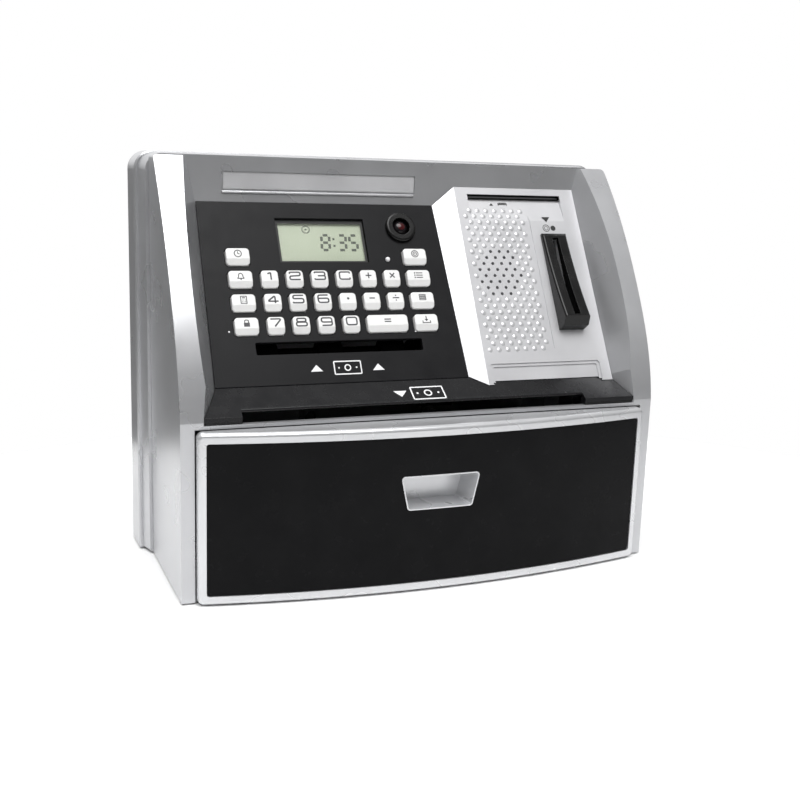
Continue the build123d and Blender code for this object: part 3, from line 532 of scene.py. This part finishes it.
def draw_segments(shapes, digit, x, v, width, height, line, low, high):
    """A seven-segment digit that leans a little to the right."""
    for segment in SEGMENT[digit]:
        (x0, y0), (x1, y1) = SEGMENT_ENDS[segment]
        along = Vector(((x1 - x0) * width, (y1 - y0) * height))
        trim = along.normalized() * line * 0.56      # leaves a small gap between segments
        ends = [Vector((x0 * width, y0 * height)) + trim, Vector((x1 * width, y1 * height)) - trim]
        shapes.stroke([(x + p.x + FIGURE_LEAN * p.y, v + p.y) for p in ends], line, low, high)


def make_display():
    low, high = CELL_FACE + 0.005, CELL_FACE + 0.03
    ink = Shapes()
    for digit, x in FIGURES:
        draw_segments(ink, digit, x, FIGURES_V, *FIGURE_SIZE, FIGURE_LINE, low, high)
    for v in (72.6, 76.2):
        ink.prism([(-34.5, v - 0.6), (-33.4, v - 0.6), (-33.3, v + 0.6), (-34.4, v + 0.6)], low, high)
    ink.ring(*DISPLAY_MARK, 1.9, 0.5, low, high)
    ink.disc(*DISPLAY_MARK, 0.5, low, high)
    add_piece("display_figures", ink.verts, ink.faces, PANEL, MAT["lcd_ink"], "housing")
    # painted shade: the border's bands, widest at the top, darken the cell's edge as the recess's wall would
    border_shade = Shapes()
    x0, x1, v0, v1 = LCD_BOX
    low_edge, high_edge = v0 + BORDER_SHADE_BOTTOM, v1 - BORDER_SHADE_TOP
    bands = ((x0, x1, high_edge, v1), (x0, x1, v0, low_edge),
             (x0, x0 + BORDER_SHADE_LEFT, low_edge, high_edge), (x1 - BORDER_SHADE_RIGHT, x1, low_edge, high_edge))
    for band in bands:
        border_shade.prism(rectangle(*band), BORDER_SHADE_LOW, BORDER_SHADE_HIGH)
    add_piece("display_border_and_shade", border_shade.verts, border_shade.faces, PANEL, MAT["print_black"], "housing")


# ---------------------------------------------------------------- printed marks

SCOOP_X = (40.2, 95.0)
SCOOP_V, SCOOP_END, SCOOP_DEPTH = 90.0, 103.2, 2.0


def scoop_depth(x, v):
    """How far the card scoop lies under the coin panel's face."""
    if not SCOOP_X[0] < x < SCOOP_X[1] or v < SCOOP_V:
        return 0.0
    return SCOOP_DEPTH * (v - SCOOP_V) / (SCOOP_END - SCOOP_V)


def triangle(shapes, x, v, half, tall, low, high):
    """A filled arrow head; a negative height points down."""
    points = [(x - half, v - tall / 2), (x + half, v - tall / 2), (x, v + tall / 2)]
    shapes.prism(points if tall > 0 else points[::-1], low, high)


def banknote(shapes, x, v, width, height, line, low, high):
    outline = rectangle(x - width / 2, x + width / 2, v - height / 2, v + height / 2)
    shapes.stroke(rounded(outline, 0.5, True), line, low, high, True)
    shapes.ring(x, v, height * 0.22, line, low, high)
    for side in (-1, 1):
        shapes.disc(x + side * width * 0.33, v, height * 0.07, low, high)


INK_THICK = 0.04
FEED_NOTE, FEED_ARROWS = (-37.7, 7.8), ((-53.2, 8.0), (-22.2, 7.6))
PANEL_DOTS = ((-92.8, 27.4), (0.3, 25.3))
LEDGE_MARK = (-14.6, -8.9)
CARD_MARK = (54.0, 99.4)
COIN_ARROW, COIN_RINGS, COIN_DOT = (84.0, 90.8), (83.2, 85.9), (87.3, 85.9)


def mark_panel():
    """Arrows and a banknote under the feeder's slot, and two dots beside the keys."""
    marks = Shapes()
    triangle(marks, *FEED_ARROWS[0], 3.0, 3.3, 0, INK_THICK)
    banknote(marks, *FEED_NOTE, 13.4, 6.4, 0.6, 0, INK_THICK)
    triangle(marks, *FEED_ARROWS[1], 3.0, 3.3, 0, INK_THICK)
    for dot in PANEL_DOTS:
        marks.disc(*dot, 0.4, 0, INK_THICK)
    add_piece("marks_panel", marks.verts, marks.faces, PANEL, MAT["print_white_and_glint"], "housing")


def mark_ledge():
    """An arrow and a banknote over the slot below the ledge."""
    marks = Shapes()
    x, v = LEDGE_MARK
    triangle(marks, x, v, 3.4, -4.0, 0, INK_THICK)
    banknote(marks, x + 14.0, v, 16.5, 8.0, 0.7, 0, INK_THICK)
    add_piece("marks_ledge", marks.verts, marks.faces, LEDGE, MAT["print_white_and_glint"], "housing")


def mark_coin_side():
    """An arrow and a card in the scoop, and an arrow and two coins above the coin slot."""
    marks = Shapes()
    x, v = CARD_MARK
    low = -scoop_depth(x, v)
    high = 0.05 + low
    triangle(marks, x, v, 1.9, 2.3, low, high)
    card = rounded(rectangle(x + 4, x + 9, v - 1.3, v + 1.3), 0.5, True)
    marks.stroke(card, 0.34, low, high, True)
    marks.stroke([(x + 4.2, v + 0.5), (x + 8.8, v + 0.5)], 0.5, low, high)
    triangle(marks, *COIN_ARROW, 2.3, -3.0, 0, INK_THICK)
    marks.ring(*COIN_RINGS, 1.9, 0.36, 0, INK_THICK)
    marks.ring(*COIN_RINGS, 1.1, 0.24, 0, INK_THICK)
    marks.disc(*COIN_DOT, 1.5, 0, INK_THICK)
    add_piece("marks_coin", marks.verts, marks.faces, COIN, MAT["print_black"], "housing")


# ---------------------------------------------------------------- coin side's studs, name plate, painted shade in the card slot

STUD_ROWS, STUD_COLUMNS, STUD_SIDES = 24, 8, 12
STUD_FIRST, STUD_PITCH = (37.4, 18.9), (5.02, 3.33)
STUD_SHIFT = 2.5            # sideways, in every other row
STUD_LAST_X = 72.4
STUD_PROFILE = ((1.38, -0.05), (1.22, 0.07), (0.95, 0.20), (0.52, 0.31))     # radius and height
STUD_TOP = 0.35
STUD_STRETCH = 1.1          # a stud is this much taller than wide
HOLE_CLEAR = 5.0            # square of the least distance from a stud to a hole
HOLE_ROWS = (               # height, first hole across, number of holes
    (72.4, 47.77, 3), (69.0, 44.92, 4), (65.7, 42.75, 4), (62.35, 39.9, 5),
    (59.0, 42.75, 5), (55.7, 39.9, 5), (52.4, 42.75, 4), (49.0, 44.92, 3),
)


def stud_places():
    """Staggered rows, with gaps where the speaker's holes are."""
    holes = [(first + STUD_PITCH[0] * n, v) for v, first, count in HOLE_ROWS for n in range(count)]
    for row in range(STUD_ROWS):
        v = STUD_FIRST[1] + STUD_PITCH[1] * row
        for column in range(STUD_COLUMNS):
            x = STUD_FIRST[0] + STUD_PITCH[0] * column + (STUD_SHIFT if row % 2 else 0.0)
            if x > STUD_LAST_X or any((x - hx) ** 2 + (v - hv) ** 2 < HOLE_CLEAR for hx, hv in holes):
                continue
            yield x, v


def make_studs():
    """Low round studs all over the coin side's left part."""
    verts, faces, sides = [], [], STUD_SIDES
    for x, v in stud_places():
        start, sink = len(verts), scoop_depth(x, v)
        for radius, lift in STUD_PROFILE:
            for side in range(sides):
                turn = 2 * math.pi * side / sides
                up = v + STUD_STRETCH * radius * math.sin(turn)
                verts.append((x + radius * math.cos(turn), up, lift - sink))
        verts.append((x, v, STUD_TOP - sink))
        for ring in range(len(STUD_PROFILE) - 1):
            for side in range(sides):
                a, b = start + ring * sides + side, start + ring * sides + (side + 1) % sides
                faces.append((a, b, b + sides, a + sides))
        last = start + (len(STUD_PROFILE) - 1) * sides
        faces += [(last + side, last + (side + 1) % sides, len(verts) - 1) for side in range(sides)]
    add_piece("studs", verts, faces, COIN, MAT["coin_silver_painted_light"], "housing", ROUND_SMOOTH)


PLATE_BOX = (-87.8, 11.4, 183.8, 192.0)     # left, right, bottom, top
PLATE_SINK = 1.08
PLATE_STEPS = ((0.0, 0.0, 0.45), (0.35, 0.45, 0.62))    # inset, bottom, top
LIP_ENDS, LIP_CENTRE, LIP_RADIUS, LIP_SIDES = (-88.4, 10.8), (182.5, 0.02), 0.62, 12


def make_name_plate():
    """A blank plate in the header's window, with a rounded bright lip below it."""
    plate = Shapes()
    x0, x1, z0, z1 = PLATE_BOX
    for inset, low, high in PLATE_STEPS:
        outline = rectangle(x0 + inset, x1 - inset, z0 + inset, z1 - inset)
        plate.prism(outline, low - PLATE_SINK, high - PLATE_SINK)
    add_piece("name_plate", plate.verts, plate.faces, HEADER, MAT["plate"],
              "housing", FLAT_SMOOTH)
    sides = LIP_SIDES
    verts = [(x, z, out) for x in LIP_ENDS for z, out in circle(*LIP_CENTRE, LIP_RADIUS, sides)]
    faces = [(i, (i + 1) % sides, sides + (i + 1) % sides, sides + i) for i in range(sides)]
    faces += [tuple(range(sides))[::-1], tuple(range(sides, 2 * sides))]
    add_piece("name_plate_lip", verts, faces, HEADER, MAT["silver"], "housing")


SLOT_SHADE_BOX = (40.3, 94.9, 102.98, 104.82)
SLOT_SHADE_TOP, SLOT_SHADE_DEEP = -0.5, -5.9


def make_slot_shade():
    """A matt black sheet just inside the card slot's walls: painted shade that darkens the slot's inside."""
    rim = [(x, v, SLOT_SHADE_TOP) for x, v in rectangle(*SLOT_SHADE_BOX)]
    end = [(x, v, SLOT_SHADE_DEEP) for x, v in rectangle(*SLOT_SHADE_BOX)]
    faces = [(i, 4 + i, 4 + (i + 1) % 4, (i + 1) % 4) for i in range(4)] + [(4, 5, 6, 7)]
    add_piece("card_slot_painted_shade", rim + end, faces, COIN, MAT["matt_black"],
              "housing", FLAT_SMOOTH)


# ---------------------------------------------------------------- camera eye


PUPIL_X, PUPIL_V, PUPIL_CENTRE = 1.5, 81.4, -2.2       # the centre of the ball that it is cut from
PUPIL_RADIUS, PUPIL_ANGLE = 4.52, 0.42
PUPIL_SIDES, PUPIL_RINGS = 40, 8


def make_pupil():
    """The red middle of the camera's eye: a cap of a ball."""
    verts, faces, sides = [], [], PUPIL_SIDES
    for ring in range(PUPIL_RINGS + 1):
        angle = PUPIL_ANGLE * ring / PUPIL_RINGS
        across, out = PUPIL_RADIUS * math.sin(angle), PUPIL_CENTRE + PUPIL_RADIUS * math.cos(angle)
        verts += [(x, v, out) for x, v in circle(PUPIL_X, PUPIL_V, across, sides)]
    for ring in range(PUPIL_RINGS):
        for side in range(sides):
            a, b = ring * sides + side, ring * sides + (side + 1) % sides
            faces.append((a, a + sides, b + sides, b))
    add_piece("eye_pupil", verts, faces, PANEL, MAT["red"], "housing", ROUND_SMOOTH)


make_display()
mark_panel()
mark_ledge()
mark_coin_side()
make_studs()
make_name_plate()
make_slot_shade()
make_pupil()

# ---------------------------------------------------------------- camera, floor and light


SENSOR_WIDTH, FOCAL_LENGTH = 36.0, 50.52
CAMERA_PLACE = Vector((-0.21373, -0.52864, 0.198))
CAMERA_YAW, CAMERA_PITCH, CAMERA_ROLL = math.radians(22.31), math.radians(11.844), math.radians(1.921)
FLOOR_RADIUS, FLOOR_CENTRE, FLOOR_SIDES = 0.42, (0, -0.14), 64
BACKDROP_GLOW = 0.85        # added towards the backdrop, above the horizon
SURROUND = (0.12, 0.50)     # strength of the surround at the horizon and overhead
SUN_PLACE, SUN_POWER, SUN_SPREAD = (-0.10, -0.42, 0.90), 2.5, 50
SOFTBOX_PLACE, SOFTBOX_TARGET, SOFTBOX_SIZE, SOFTBOX_POWER = (-0.25, -0.35, 1.5), (0, 0, 0.1), (1.1, 0.8), 6


def make_camera():
    data = bpy.data.cameras.new("camera")
    data.sensor_width, data.lens = SENSOR_WIDTH, FOCAL_LENGTH
    data.clip_start, data.clip_end = 0.01, 20
    camera = bpy.data.objects.new("camera", data)
    bpy.context.scene.collection.objects.link(camera)
    level = math.cos(CAMERA_PITCH)
    ahead = Vector((math.sin(CAMERA_YAW) * level, math.cos(CAMERA_YAW) * level, -math.sin(CAMERA_PITCH)))
    right = Vector((math.cos(CAMERA_YAW), -math.sin(CAMERA_YAW), 0))
    up = right.cross(ahead)
    x_axis = math.cos(CAMERA_ROLL) * right + math.sin(CAMERA_ROLL) * up
    y_axis = -math.sin(CAMERA_ROLL) * right + math.cos(CAMERA_ROLL) * up
    turn = Matrix((x_axis, y_axis, -ahead)).transposed().to_4x4()
    camera.matrix_world = Matrix.Translation(CAMERA_PLACE) @ turn
    bpy.context.scene.camera = camera


def make_floor():
    rim = [(x, y, 0) for x, y in circle(*FLOOR_CENTRE, FLOOR_RADIUS, FLOOR_SIDES)]
    mesh = bpy.data.meshes.new("floor")
    mesh.from_pydata(rim, [], [tuple(range(FLOOR_SIDES))])
    floor = bpy.data.objects.new("floor", mesh)
    bpy.context.scene.collection.objects.link(floor)
    mat = plastic("floor_white", (0.90, 0.90, 0.90), (0.91, 0.91, 0.91), 0.55, 0.6, grain=200, edge=0)
    mesh.materials.append(mat)


def add_light(name, kind, power, ahead):
    """A light of the kind given, which shines along a direction."""
    data = bpy.data.lights.new(name, kind)
    data.energy = power
    light = bpy.data.objects.new(name, data)
    bpy.context.scene.collection.objects.link(light)
    light.rotation_euler = Vector(ahead).to_track_quat("-Z", "Y").to_euler()
    return light


def make_world():
    """White to the camera; to all else a surround that dims towards the horizon and glows behind."""
    world = bpy.data.worlds.new("studio")
    bpy.context.scene.world = world
    world.use_nodes = True
    nodes, links = world.node_tree.nodes, world.node_tree.links
    surround = nodes["Background"]
    split = add_node(world, "ShaderNodeSeparateXYZ")
    links.new(add_node(world, "ShaderNodeTexCoord").outputs["Generated"], split.inputs["Vector"])
    glow = add_node(world, "ShaderNodeMath", operation="MULTIPLY")
    links.new(ramp(world, split.outputs["Y"], 0.15, 0.9, 0, BACKDROP_GLOW), glow.inputs[0])
    links.new(ramp(world, split.outputs["Z"], 0.0, 0.12), glow.inputs[1])
    total = add_node(world, "ShaderNodeMath", operation="ADD")
    links.new(glow.outputs["Value"], total.inputs[0])
    links.new(ramp(world, split.outputs["Z"], 0.0, 0.9, *SURROUND), total.inputs[1])
    links.new(total.outputs["Value"], surround.inputs["Strength"])
    surround.inputs["Color"].default_value = (1, 1, 1, 1)
    backdrop = add_node(world, "ShaderNodeBackground", Color=(1, 1, 1, 1))
    mix = add_node(world, "ShaderNodeMixShader")
    links.new(add_node(world, "ShaderNodeLightPath").outputs["Is Camera Ray"], mix.inputs["Fac"])
    links.new(surround.outputs["Background"], mix.inputs[1])
    links.new(backdrop.outputs["Background"], mix.inputs[2])
    links.new(mix.outputs["Shader"], nodes["World Output"].inputs["Surface"])


def make_light():
    """The surround, a broad overcast sun and one soft box overhead."""
    make_world()
    sun = add_light("overcast", "SUN", SUN_POWER, -Vector(SUN_PLACE))
    sun.data.angle = math.radians(SUN_SPREAD)
    softbox = add_light("softbox_top", "AREA", SOFTBOX_POWER, Vector(SOFTBOX_TARGET) - Vector(SOFTBOX_PLACE))
    softbox.location = SOFTBOX_PLACE
    softbox.data.shape = "RECTANGLE"
    softbox.data.size, softbox.data.size_y = SOFTBOX_SIZE
    bpy.context.scene.view_settings.view_transform = "Standard"


make_camera()
make_floor()
make_light()
